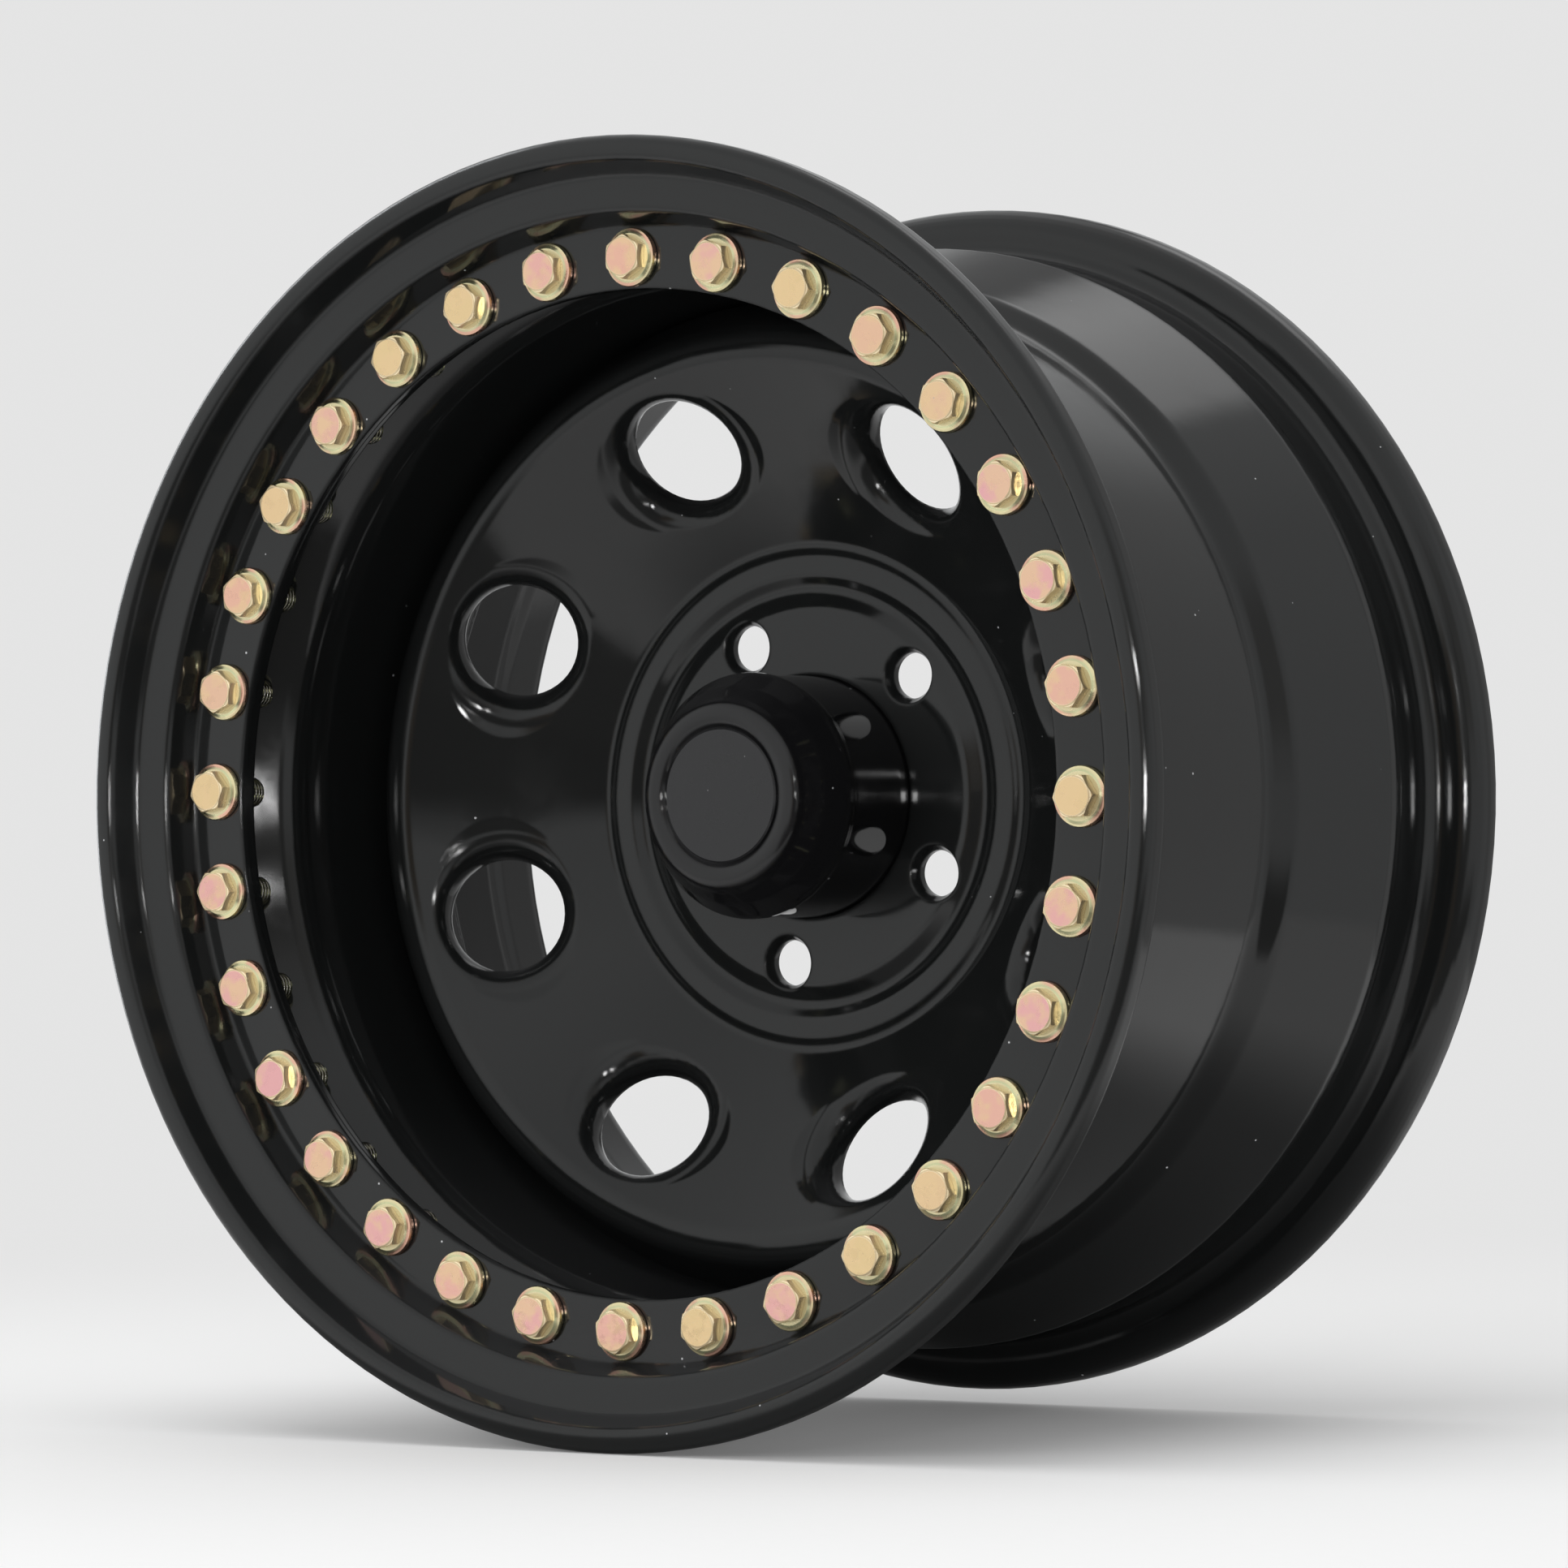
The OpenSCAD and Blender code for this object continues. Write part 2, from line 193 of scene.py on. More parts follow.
class WheelWeldSettings(bpy.types.PropertyGroup):
    """Ripples of the weld beads."""
    step: FloatProperty(
        name="Ripple step", description="Distance between two ripples of a bead",
        subtype="DISTANCE", unit="LENGTH", min=0.0005, max=0.01, default=0.0021)
    size: FloatProperty(
        name="Ripple radius", description="Radius of one ripple",
        subtype="DISTANCE", unit="LENGTH", min=0.0005, max=0.01, default=0.0021)


class WheelStudioSettings(bpy.types.PropertyGroup):
    """Pale studio, its lamps and the camera."""
    pale: FloatProperty(
        name="Backdrop level", description="Brightness of the pale backdrop",
        min=0, max=1, default=0.78)
    surround: FloatProperty(
        name="Surround level", description="Brightness of the room that the paint mirrors",
        min=0, max=1, default=0.67)
    floor_albedo: FloatProperty(
        name="Floor level", description="How much light the floor gives back",
        min=0, max=1, default=0.80)
    floor_lift: FloatProperty(
        name="Floor lift", description="Even glow of the floor, which lightens the shadow on it",
        min=0, max=1, default=0.08)
    table_edge: FloatProperty(
        name="Table edge", description="How far the table reaches from the wheel in its reflections",
        subtype="DISTANCE", unit="LENGTH", min=0.3, max=5, default=0.6)
    lens: FloatProperty(
        name="Lens", description="Focal length on a sensor 36 mm wide",
        subtype="DISTANCE_CAMERA", min=20, max=400, default=138.29)
    camera_place: FloatVectorProperty(
        name="Camera place", description="Where the camera stands",
        subtype="TRANSLATION", unit="LENGTH", size=3, default=(1.1665, -1.6819, -0.0441))
    ambient: FloatProperty(
        name="Ambient level", description="Level of the even light from all sides",
        min=0, max=2, default=0.66)
    key_power: FloatProperty(
        name="Key power", description="Power of the large soft lamp overhead",
        subtype="POWER", min=0, max=1000, default=28)
    fill_power: FloatProperty(
        name="Fill power", description="Power of the soft lamp at the front left",
        subtype="POWER", min=0, max=1000, default=20)
    flash_power: FloatProperty(
        name="Flash power", description="Power of the small lamp above the camera",
        subtype="POWER", min=0, max=100, default=5.4)


# ---------------------------------------------------------------- shader helpers

def new_material(name):
    """An empty node material, with its node tree and output."""
    material = bpy.data.materials.new(name)
    material.use_nodes = True
    tree = material.node_tree
    tree.nodes.clear()
    output = tree.nodes.new("ShaderNodeOutputMaterial")
    return material, tree, output


def feed(tree, socket, value):
    """Links a socket into another, or sets a plain value on it."""
    if isinstance(value, bpy.types.NodeSocket):
        tree.links.new(value, socket)
    elif value is not None:
        socket.default_value = value


def sum_of(tree, operation, a, b=None):
    """The output of a Math node on one or two values."""
    node = tree.nodes.new("ShaderNodeMath")
    node.operation = operation
    feed(tree, node.inputs[0], a)
    feed(tree, node.inputs[1], b)
    return node.outputs[0]


def product_of(tree, a, b):
    """One value times another."""
    return sum_of(tree, "MULTIPLY", a, b)


def reach_of(tree, a, b):
    """The distance from the origin of a point with two coordinates."""
    return sum_of(tree, "SQRT", sum_of(tree, "ADD", product_of(tree, a, a), product_of(tree, b, b)))


def coordinates_of(tree, vector):
    """The three coordinates of a vector."""
    split = tree.nodes.new("ShaderNodeSeparateXYZ")
    feed(tree, split.inputs[0], vector)
    return split.outputs


def ramp_between(tree, value, low, high, to_low=0.0, to_high=1.0):
    """A smooth step of a value from low to high."""
    node = tree.nodes.new("ShaderNodeMapRange")
    node.interpolation_type = "SMOOTHSTEP"
    for socket, item in zip(node.inputs, (value, low, high, to_low, to_high)):
        feed(tree, socket, item)
    return node.outputs[0]


def blend_colours(tree, share, a, b):
    """Colour a turning into colour b as the share goes from 0 to 1."""
    node = tree.nodes.new("ShaderNodeMix")
    node.data_type = "RGBA"
    feed(tree, node.inputs[0], share)
    feed(tree, node.inputs[6], as_colour(a))
    feed(tree, node.inputs[7], as_colour(b))
    return node.outputs[2]


def as_colour(value):
    """A colour with its alpha, or the socket as it is."""
    return value if isinstance(value, bpy.types.NodeSocket) else (*value[:3], 1.0)


def blend_shaders(tree, share, a, b):
    """The output of shader a turning into shader b as the share goes from 0 to 1."""
    node = tree.nodes.new("ShaderNodeMixShader")
    for socket, value in zip(node.inputs, (share, a, b)):
        feed(tree, socket, value)
    return node.outputs[0]


def noise(tree, place, size, detail=2.0, rough=0.5):
    """Noise whose bumps are about size metres wide, from 0 to 1."""
    node = tree.nodes.new("ShaderNodeTexNoise")
    linked = isinstance(size, bpy.types.NodeSocket)
    feed(tree, node.inputs["Vector"], place)
    feed(tree, node.inputs["Scale"], sum_of(tree, "DIVIDE", 1.0, size) if linked else 1.0 / size)
    node.inputs["Detail"].default_value = detail
    node.inputs["Roughness"].default_value = rough
    return node.outputs[0]


def new_group(name, inputs, outputs):
    """A shader node group with named sockets, and its ends."""
    group = bpy.data.node_groups.new(name, "ShaderNodeTree")
    for socket_name, kind, default in inputs:
        item = group.interface.new_socket(socket_name, in_out="INPUT", socket_type=kind)
        item.default_value = default
    for socket_name, kind in outputs:
        group.interface.new_socket(socket_name, in_out="OUTPUT", socket_type=kind)
    start = group.nodes.new("NodeGroupInput").outputs
    end = group.nodes.new("NodeGroupOutput").inputs
    return group, start, end


def place_group(tree, group, **values):
    """A group placed in a material, with its inputs set."""
    node = tree.nodes.new("ShaderNodeGroup")
    node.node_tree = group
    for key, value in values.items():
        node.inputs[key.replace("_", " ")].default_value = value
    return node.outputs


def object_place(tree):
    """The point of the surface in the wheel's own frame."""
    return tree.nodes.new("ShaderNodeTexCoord").outputs["Object"]


def bump(tree, height, distance, strength=1.0, normal=None):
    """A bumped normal from a height that goes from 0 to 1."""
    node = tree.nodes.new("ShaderNodeBump")
    node.inputs["Strength"].default_value = strength
    node.inputs["Distance"].default_value = distance
    feed(tree, node.inputs["Height"], height)
    feed(tree, node.inputs["Normal"], normal)
    return node.outputs[0]


FLOAT = "NodeSocketFloat"


def dust_group():
    """Dust specks, smudges and a faint dull film that gathers on faces that look up."""
    group, start, end = new_group(
        "Dust and smudges",
        [("Cell size", FLOAT, 0.01), ("Speck size", FLOAT, 0.0004), ("Share", FLOAT, 0.1),
         ("Smudge size", FLOAT, 0.04)],
        [("Specks", FLOAT), ("Smudges", FLOAT), ("Film", FLOAT)])
    place = object_place(group)
    cells = group.nodes.new("ShaderNodeTexVoronoi")
    feed(group, cells.inputs["Vector"], place)
    feed(group, cells.inputs["Scale"], sum_of(group, "DIVIDE", 1.0, start["Cell size"]))
    reach = sum_of(group, "DIVIDE", start["Speck size"], start["Cell size"])
    pick = group.nodes.new("ShaderNodeSeparateColor")
    feed(group, pick.inputs[0], cells.outputs["Color"])
    grown = product_of(group, reach, sum_of(group, "ADD", 0.4, pick.outputs[1]))
    dot = ramp_between(group, cells.outputs["Distance"], grown, product_of(group, grown, 0.5))
    chosen = sum_of(group, "LESS_THAN", pick.outputs[0], start["Share"])
    feed(group, end["Specks"], product_of(group, dot, chosen))
    smudge = noise(group, place, start["Smudge size"], 4.0, 0.6)
    feed(group, end["Smudges"], ramp_between(group, smudge, 0.42, 0.72))
    facing = coordinates_of(group, group.nodes.new("ShaderNodeNewGeometry").outputs["Normal"])
    feed(group, end["Film"], ramp_between(group, facing[2], 0.55, 1.0))
    return group


def skin_group():
    """Height of sprayed paint: fine orange peel on slow waves of the sheet."""
    group, start, end = new_group(
        "Sprayed skin",
        [("Peel size", FLOAT, 0.002), ("Wave size", FLOAT, 0.03)],
        [("Peel", FLOAT), ("Waves", FLOAT)])
    place = object_place(group)
    feed(group, end["Peel"], noise(group, place, start["Peel size"], 2.0, 0.45))
    feed(group, end["Waves"], noise(group, place, start["Wave size"], 3.0, 0.5))
    return group


def bolt_group():
    """Which bolt a point belongs to, how far it is from that bolt's axis, and a random value for it."""
    group, start, end = new_group(
        "Bolt cell",
        [("Count", FLOAT, BOLT_COUNT), ("Circle", FLOAT, BOLT_CIRCLE), ("First", FLOAT, FIRST_BOLT)],
        [("Seed", FLOAT), ("Second seed", FLOAT), ("Radius", FLOAT), ("Depth", FLOAT)])
    x, y, z = coordinates_of(group, object_place(group))
    clock = sum_of(group, "ARCTAN2", x, z)
    step = sum_of(group, "DIVIDE", TURN, start["Count"])
    past_first = sum_of(group, "SUBTRACT", clock, start["First"])
    index = sum_of(group, "ROUND", sum_of(group, "DIVIDE", past_first, step))
    angle = sum_of(group, "ADD", start["First"], product_of(group, index, step))
    centres = [product_of(group, start["Circle"], sum_of(group, wave, angle)) for wave in ("SINE", "COSINE")]
    across, up = (sum_of(group, "SUBTRACT", place, centre) for place, centre in zip((x, z), centres))
    number = sum_of(group, "FLOORED_MODULO", index, start["Count"])
    for socket_name, shift in (("Seed", 3.5), ("Second seed", 71.5)):
        white = group.nodes.new("ShaderNodeTexWhiteNoise")
        white.noise_dimensions = "1D"
        feed(group, white.inputs["W"], sum_of(group, "ADD", number, shift))
        feed(group, end[socket_name], white.outputs["Value"])
    feed(group, end["Radius"], reach_of(group, across, up))
    feed(group, end["Depth"], y)
    return group


def shared_group(name, maker):
    """A shader group that is built the first time it is asked for."""
    return bpy.data.node_groups.get(name) or maker()


def dust_on(tree, cell_size, speck_size, share, smudge_size):
    """Dust and smudges on a material, with sizes in millimetres."""
    return place_group(tree, shared_group("Dust and smudges", dust_group), Cell_size=cell_size * MM,
                       Speck_size=speck_size * MM, Share=share, Smudge_size=smudge_size * MM)


def specked(tree, dusting, strength, colour, speck):
    """A colour with dust specks on it."""
    return blend_colours(tree, product_of(tree, dusting["Specks"], strength), colour, speck)


def paint_material(name, settings, colour, roughness, wave_depth, peel_depth, dust):
    """Gloss black paint: peel and waves in its normal, dust specks and dull smudges on top."""
    material, tree, output = new_material(name)
    dusting = dust_on(tree, 9, 0.42, dust, 45)
    skin = place_group(tree, shared_group("Sprayed skin", skin_group),
                       Peel_size=settings.peel_size, Wave_size=settings.wave_size)
    shader = tree.nodes.new("ShaderNodeBsdfPrincipled")
    filmed = blend_colours(tree, product_of(tree, dusting["Film"], 0.10), colour, FILM_GREY)
    feed(tree, shader.inputs["Base Color"], specked(tree, dusting, 0.9, filmed, PAINT_SPECK))
    factor, offset = SMUDGED_PAINT
    dull = ramp_between(tree, dusting["Smudges"], 0.0, 1.0, roughness, roughness * factor + offset)
    rough_specks = product_of(tree, dusting["Specks"], SPECK_ROUGHNESS)
    feed(tree, shader.inputs["Roughness"], sum_of(tree, "MAXIMUM", dull, rough_specks))
    # The fillets of the solids are meshed as narrow flat strips, and this normal runs smoothly across them.
    blended = tree.nodes.new("ShaderNodeBevel")
    blended.samples = 6
    blended.inputs["Radius"].default_value = settings.edge_blend
    waved = bump(tree, skin["Waves"], wave_depth, normal=blended.outputs[0])
    peeled = bump(tree, skin["Peel"], peel_depth, normal=waved)
    feed(tree, shader.inputs["Normal"], bump(tree, dusting["Specks"], SPECK_HEIGHT, 0.6, peeled))
    feed(tree, output.inputs["Surface"], shader.outputs[0])
    return material


def zinc_material(name, settings, threads=False):
    """Yellow zinc plating: each bolt has its own tint, paler and greener on the flange; the hexagon's chamfer
    and sides carry painted shade crossed by painted highlight stripes.
    """
    material, tree, output = new_material(name)
    cell = place_group(tree, shared_group("Bolt cell", bolt_group),
                       Count=float(BOLT_COUNT), Circle=BOLT_CIRCLE, First=FIRST_BOLT)
    dusting = dust_on(tree, 6, 0.3, 0.05, 5)
    place = object_place(tree)
    pink = blend_colours(tree, cell["Second seed"], settings.peach, settings.pink)
    golden = ramp_between(tree, cell["Seed"], 0.55, 0.95)
    face = blend_colours(tree, golden, pink, settings.gold)
    mottle = ramp_between(tree, noise(tree, place, MOTTLE_WIDTH, 2.0), 0.40, 0.62)
    face = blend_colours(tree, product_of(tree, mottle, 0.65), face, FACE_MOTTLE)
    on_face = product_of(tree, ramp_between(tree, cell["Radius"], *FACE_RADII),
                         ramp_between(tree, cell["Depth"], *FACE_DEPTHS))
    # The hexagon's chamfer and sides get a painted shade crossed by stripes of painted highlight; only the face
    # keeps the plating's colour.
    highlight_stripes = ramp_between(tree, noise(tree, cell["Depth"], HIGHLIGHT_STRIPE_WIDTH, 1.0), *PATCH_BOUNDS)
    sides = blend_colours(tree, highlight_stripes, SIDE_SHADE, SIDE_HIGHLIGHT)
    head = blend_colours(tree, on_face, sides, face)
    on_flange = ramp_between(tree, cell["Depth"], *FLANGE_DEPTHS)
    tinted = ramp_between(tree, noise(tree, place, TINT_WIDTH, 2.0), *PATCH_BOUNDS)
    edge = blend_colours(tree, tinted, settings.rim, settings.peach)
    # Greener and darker towards the hexagon's foot: partly the plating's hue, partly painted shade in the
    # corner.
    inner = ramp_between(tree, cell["Radius"], *GREEN_SHADE_RADII)
    flange = blend_colours(tree, product_of(tree, inner, 0.8), edge, settings.green)
    plated = blend_colours(tree, on_flange, head, flange)
    # Threads: a darker grey that is partly the tips' greyer zinc and partly painted shade.
    if threads:
        plated = blend_colours(tree, mottle, SHADED_THREAD_DARK, SHADED_THREAD_PALE)
    shader = tree.nodes.new("ShaderNodeBsdfPrincipled")
    shine = ramp_between(tree, on_face, 0.0, 1.0, 0.55, 1.0)
    feed(tree, shader.inputs["Metallic"], sum_of(tree, "MAXIMUM", shine, on_flange))
    feed(tree, shader.inputs["Base Color"], specked(tree, dusting, 0.6, plated, BOLT_SPECK))
    feed(tree, shader.inputs["Roughness"], ramp_between(
        tree, dusting["Smudges"], 0.0, 1.0, settings.roughness, settings.roughness + SMUDGED_ZINC))
    turned_marks = noise(tree, cell["Radius"], MARK_WIDTH, 1.0)
    grained = bump(tree, turned_marks, MARK_DEPTH)
    dents = noise(tree, place, DENT_WIDTH, 2.0)
    feed(tree, shader.inputs["Normal"], bump(tree, dents, DENT_DEPTH, normal=grained))
    feed(tree, output.inputs["Surface"], shader.outputs[0])
    return material


def cap_satin_material(name):
    """Bare satin plastic with a fine spun grain."""
    material, tree, output = new_material(name)
    dusting = dust_on(tree, 5, 0.3, 0.12, 12)
    x, _, z = coordinates_of(tree, object_place(tree))
    grain = noise(tree, reach_of(tree, x, z), SPUN_WIDTH, 2.0)
    shader = tree.nodes.new("ShaderNodeBsdfPrincipled")
    tone = blend_colours(tree, product_of(tree, grain, 0.5), PLATE_DARK, PLATE_PALE)
    feed(tree, shader.inputs["Base Color"], specked(tree, dusting, 0.5, tone, PLATE_SPECK))
    feed(tree, shader.inputs["Roughness"], ramp_between(tree, dusting["Smudges"], 0.0, 1.0, *PLATE_ROUGHNESS))
    feed(tree, shader.inputs["Normal"], bump(tree, grain, SPUN_DEPTH))
    feed(tree, output.inputs["Surface"], shader.outputs[0])
    return material


def assign(node_name, material):
    """Gives a CAD node one material."""
    mesh = NODES[node_name].data
    mesh.materials.clear()
    mesh.materials.append(material)


# ---------------------------------------------------------------- geometry node helpers

def new_tree(name, inputs):
    """A geometry node tree with named inputs and one geometry output."""
    tree = bpy.data.node_groups.new(name, "GeometryNodeTree")
    tree.interface.new_socket("Geometry", in_out="INPUT", socket_type="NodeSocketGeometry")
    ids = {}
    for socket_name, kind in inputs:
        item = tree.interface.new_socket(socket_name, in_out="INPUT", socket_type=kind)
        ids[socket_name] = item.identifier
    tree.interface.new_socket("Geometry", in_out="OUTPUT", socket_type="NodeSocketGeometry")
    return tree, tree.nodes.new("NodeGroupInput").outputs, ids


def node_of(tree, kind, inputs=None, **attributes):
    """A geometry node with its attributes set and its inputs fed, by name or by number."""
    node = tree.nodes.new(kind)
    for key, value in attributes.items():
        setattr(node, key, value)
    for key, value in (inputs or {}).items():
        feed(tree, node.inputs[key], value)
    return node


def close_tree(tree, geometry, material):
    """Ends a tree in smooth faces, Realize Instances and Set Material."""
    real = node_of(tree, "GeometryNodeRealizeInstances", {"Geometry": geometry})
    smooth = node_of(tree, "GeometryNodeSetShadeSmooth", {"Geometry": real.outputs[0]})
    coat = node_of(tree, "GeometryNodeSetMaterial", {"Geometry": smooth.outputs[0], "Material": material})
    end = tree.nodes.new("NodeGroupOutput")
    tree.links.new(coat.outputs[0], end.inputs[0])


def lay(tree, geometry, lift, turn=None):
    """Moves geometry along Z, turns it round Z, and lays that axis along the wheel's own."""
    moved = {"Geometry": geometry, "Translation": node_of(tree, "ShaderNodeCombineXYZ", {"Z": lift}).outputs[0]}
    if turn is not None:
        moved["Rotation"] = node_of(tree, "ShaderNodeCombineXYZ", {"Z": turn}).outputs[0]
    spun = node_of(tree, "GeometryNodeTransform", moved)
    laid = node_of(tree, "GeometryNodeTransform", {
        "Geometry": spun.outputs[0], "Rotation": (-TURN / 4, 0.0, 0.0)})
    return laid.outputs[0]


def grow(name, tree, ids, values, body, material):
    """Runs a tree on an empty mesh, keeps the result as a plain mesh and lets it ride on a body."""
    seedling = bpy.data.objects.new(name + "_source", bpy.data.meshes.new(name + "_source"))
    bpy.context.scene.collection.objects.link(seedling)
    modifier = seedling.modifiers.new("Build", "NODES")
    modifier.node_group = tree
    for key, value in values.items():
        modifier[ids[key]] = value
    modifier[ids["Material"]] = material
    graph = bpy.context.evaluated_depsgraph_get()
    mesh = bpy.data.meshes.new_from_object(seedling.evaluated_get(graph))
    seedling.modifiers.clear()
    bpy.data.objects.remove(seedling)
    mesh.name = name
    if not mesh.polygons:
        raise RuntimeError(f"{name} came out empty")
    if not any(mesh.materials):
        mesh.materials.append(material)
    piece = bpy.data.objects.new(name, mesh)
    bpy.context.scene.collection.objects.link(piece)
    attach(piece, body)
    return piece


def thread_tree():
    """Helical ridges round every bolt tip."""
    tree, given, ids = new_tree("Rolled threads", [
        ("Count", "NodeSocketInt"), ("Circle", FLOAT), ("First", FLOAT), ("Rod radius", FLOAT),
        ("Pitch", FLOAT), ("Turns", FLOAT), ("Ridge", FLOAT), ("Depth", FLOAT),
        ("Material", "NodeSocketMaterial")])
    height = product_of(tree, given["Pitch"], given["Turns"])
    helix = node_of(tree, "GeometryNodeCurveSpiral", {
        "Resolution": 20, "Rotations": given["Turns"], "Start Radius": given["Rod radius"],
        "End Radius": given["Rod radius"], "Height": height})
    section = node_of(tree, "GeometryNodeCurvePrimitiveCircle", {
        "Resolution": 4, "Radius": given["Ridge"]})
    ridge = node_of(tree, "GeometryNodeCurveToMesh", {
        "Curve": helix.outputs[0], "Profile Curve": section.outputs[0], "Fill Caps": True})
    ring = node_of(tree, "GeometryNodeMeshCircle", {
        "Vertices": given["Count"], "Radius": given["Circle"]})
    places = node_of(tree, "GeometryNodeInstanceOnPoints", {
        "Points": ring.outputs[0], "Instance": ridge.outputs[0]})
    clock = sum_of(tree, "SUBTRACT", given["First"], TURN / 4)
    close_tree(tree, lay(tree, places.outputs[0], given["Depth"], clock), given["Material"])
    return tree, ids


def bead_tree():
    """Overlapping ripples along equal arcs round the wheel's axis."""
    tree, given, ids = new_tree("Weld beads", [
        ("Arcs", "NodeSocketInt"), ("Sweep", FLOAT), ("First", FLOAT), ("Radius", FLOAT),
        ("Depth", FLOAT), ("Step", FLOAT), ("Ripple", FLOAT), ("Material", "NodeSocketMaterial")])
    arc = node_of(tree, "GeometryNodeCurveArc", {
        "Resolution": 64, "Radius": given["Radius"], "Start Angle": given["First"],
        "Sweep Angle": given["Sweep"]}, mode="RADIUS")
    length = product_of(tree, given["Radius"], given["Sweep"])
    count = sum_of(tree, "DIVIDE", length, given["Step"])
    spots = node_of(tree, "GeometryNodeCurveToPoints", {
        "Curve": arc.outputs[0], "Count": count}, mode="COUNT")
    ball = node_of(tree, "GeometryNodeMeshUVSphere", {
        "Segments": 10, "Rings": 6, "Radius": given["Ripple"]})
    wobble = node_of(tree, "FunctionNodeRandomValue", {
        "Min": 0.88, "Max": 1.08, "Seed": 7}, data_type="FLOAT")
    size = next(s for s in wobble.outputs if s.enabled)
    beads = node_of(tree, "GeometryNodeInstanceOnPoints", {
        "Points": spots.outputs[0], "Instance": ball.outputs[0], "Scale": size})
    one_arc = node_of(tree, "GeometryNodeRealizeInstances", {"Geometry": beads.outputs[0]})
    hub = node_of(tree, "GeometryNodePoints", {"Count": given["Arcs"]})
    index = node_of(tree, "GeometryNodeInputIndex")
    share = sum_of(tree, "DIVIDE", index.outputs[0], given["Arcs"])
    angle = node_of(tree, "ShaderNodeCombineXYZ", {"Z": product_of(tree, share, TURN)})
    arcs = node_of(tree, "GeometryNodeInstanceOnPoints", {
        "Points": hub.outputs[0], "Instance": one_arc.outputs[0], "Rotation": angle.outputs[0]})
    close_tree(tree, lay(tree, arcs.outputs[0], given["Depth"]), given["Material"])
    return tree, ids


# ---------------------------------------------------------------- pieces

class WHEEL_OT_paint_steel(bpy.types.Operator):
    """Paint the barrel, the disc and the two bead rings gloss black"""
    bl_idname = "wheel.paint_steel"
    bl_label = "Paint steel parts"

    def execute(self, context):
        paint = context.scene.wheel_paint
        # Each coat: its material, shares of the sheet's waves and of the dust, and the nodes that wear it.
        coats = (
            ("black_paint", 0.1, 1.0, ("clamp_ring", "mount_ring")),
            ("black_paint_disc", 0.35, 1.0, ("wheel_disc",)),
            ("black_paint_barrel", 1.0, 0.6, ("rim_barrel",)),
        )
        for name, wave_share, dust_share, nodes in coats:
            material = paint_material(name, paint, paint.colour, paint.roughness,
                                      paint.wave_depth * wave_share, paint.peel_depth, paint.dust * dust_share)
            for node in nodes:
                assign(node, material)
        return {"FINISHED"}


class WHEEL_OT_plate_bolts(bpy.types.Operator):
    """Plate the thirty-two ring bolts in yellow zinc"""
    bl_idname = "wheel.plate_bolts"
    bl_label = "Plate ring bolts"

    def execute(self, context):
        assign("ring_bolts", zinc_material("yellow_zinc", context.scene.wheel_bolts))
        return {"FINISHED"}


class WHEEL_OT_roll_threads(bpy.types.Operator):
    """Wind a helical thread round each bolt tip behind the mount ring"""
    bl_idname = "wheel.roll_threads"
    bl_label = "Roll bolt threads"

    def execute(self, context):
        bolts = context.scene.wheel_bolts
        tree, ids = thread_tree()
        start = MOUNT_BACK + bolts.ridge
        length = BOLT_HIGH.y - BARE_TIP - start
        values = {
            "Count": BOLT_COUNT, "Circle": BOLT_CIRCLE, "First": FIRST_BOLT,
            "Rod radius": BOLT_ROD - bolts.ridge * 0.35, "Pitch": bolts.pitch,
            "Turns": length / bolts.pitch, "Ridge": bolts.ridge, "Depth": start}
        grow("bolt_threads", tree, ids, values, "root",
             zinc_material("thread_zinc", bolts, threads=True))
        return {"FINISHED"}


class WHEEL_OT_lay_welds(bpy.types.Operator):
    """Lay rippled beads over the two welded joints"""
    bl_idname = "wheel.lay_welds"
    bl_label = "Lay weld beads"

    def execute(self, context):
        paint = context.scene.wheel_paint
        weld = context.scene.wheel_welds
        material = paint_material("weld_paint", paint, WELD_BLACK, WELD_ROUGHNESS,
                                  paint.wave_depth * 0.1, paint.peel_depth * 3, paint.dust * 2)
        assign("ring_weld", material)
        assign("disc_welds", material)
        tree, ids = bead_tree()
        joints = (
            ("ring_weld_ripples", 1, TURN, 0.0,
             RING_WELD_HIGH.x - RING_BEAD_IN, RING_WELD_LOW.y + RING_BEAD_BACK),
            ("disc_weld_ripples", DISC_BEADS, DISC_BEAD_SWEEP, DISC_BEAD_START,
             DISC_WELD_HIGH.z - DISC_BEAD_IN, DISC_WELD_LOW.y + DISC_BEAD_BACK),
        )
        for name, arcs, sweep, first, radius, depth in joints:
            values = {"Arcs": arcs, "Sweep": sweep, "First": first, "Radius": radius,
                      "Depth": depth, "Step": weld.step, "Ripple": weld.size}
            grow(name, tree, ids, values, "root", material)
        return {"FINISHED"}


class WHEEL_OT_finish_cap(bpy.types.Operator):
    """Give the centre cap its gloss and its bare plate a satin grain"""
    bl_idname = "wheel.finish_cap"
    bl_label = "Finish centre cap"

    def execute(self, context):
        paint = context.scene.wheel_paint
        gloss = paint_material("cap_gloss", paint, CAP_BLACK, CAP_ROUGHNESS,
                               paint.wave_depth * 0.05, paint.peel_depth * 0.5, paint.dust * 1.5)
        assign("centre_cap", gloss)
        assign("cap_plate", cap_satin_material("cap_satin"))
        return {"FINISHED"}


# ---------------------------------------------------------------- studio

# The camera's own axes, as fitted to the photo.
CAMERA_RIGHT = Vector((0.8181, 0.5749, -0.0157))
CAMERA_DOWN = Vector((-0.0265, 0.0104, -0.9996))
CAMERA_AHEAD = Vector((-0.5745, 0.8182, 0.0238))
CAMERA_CLIP = (0.05, 200)
SENSOR_WIDTH = 36

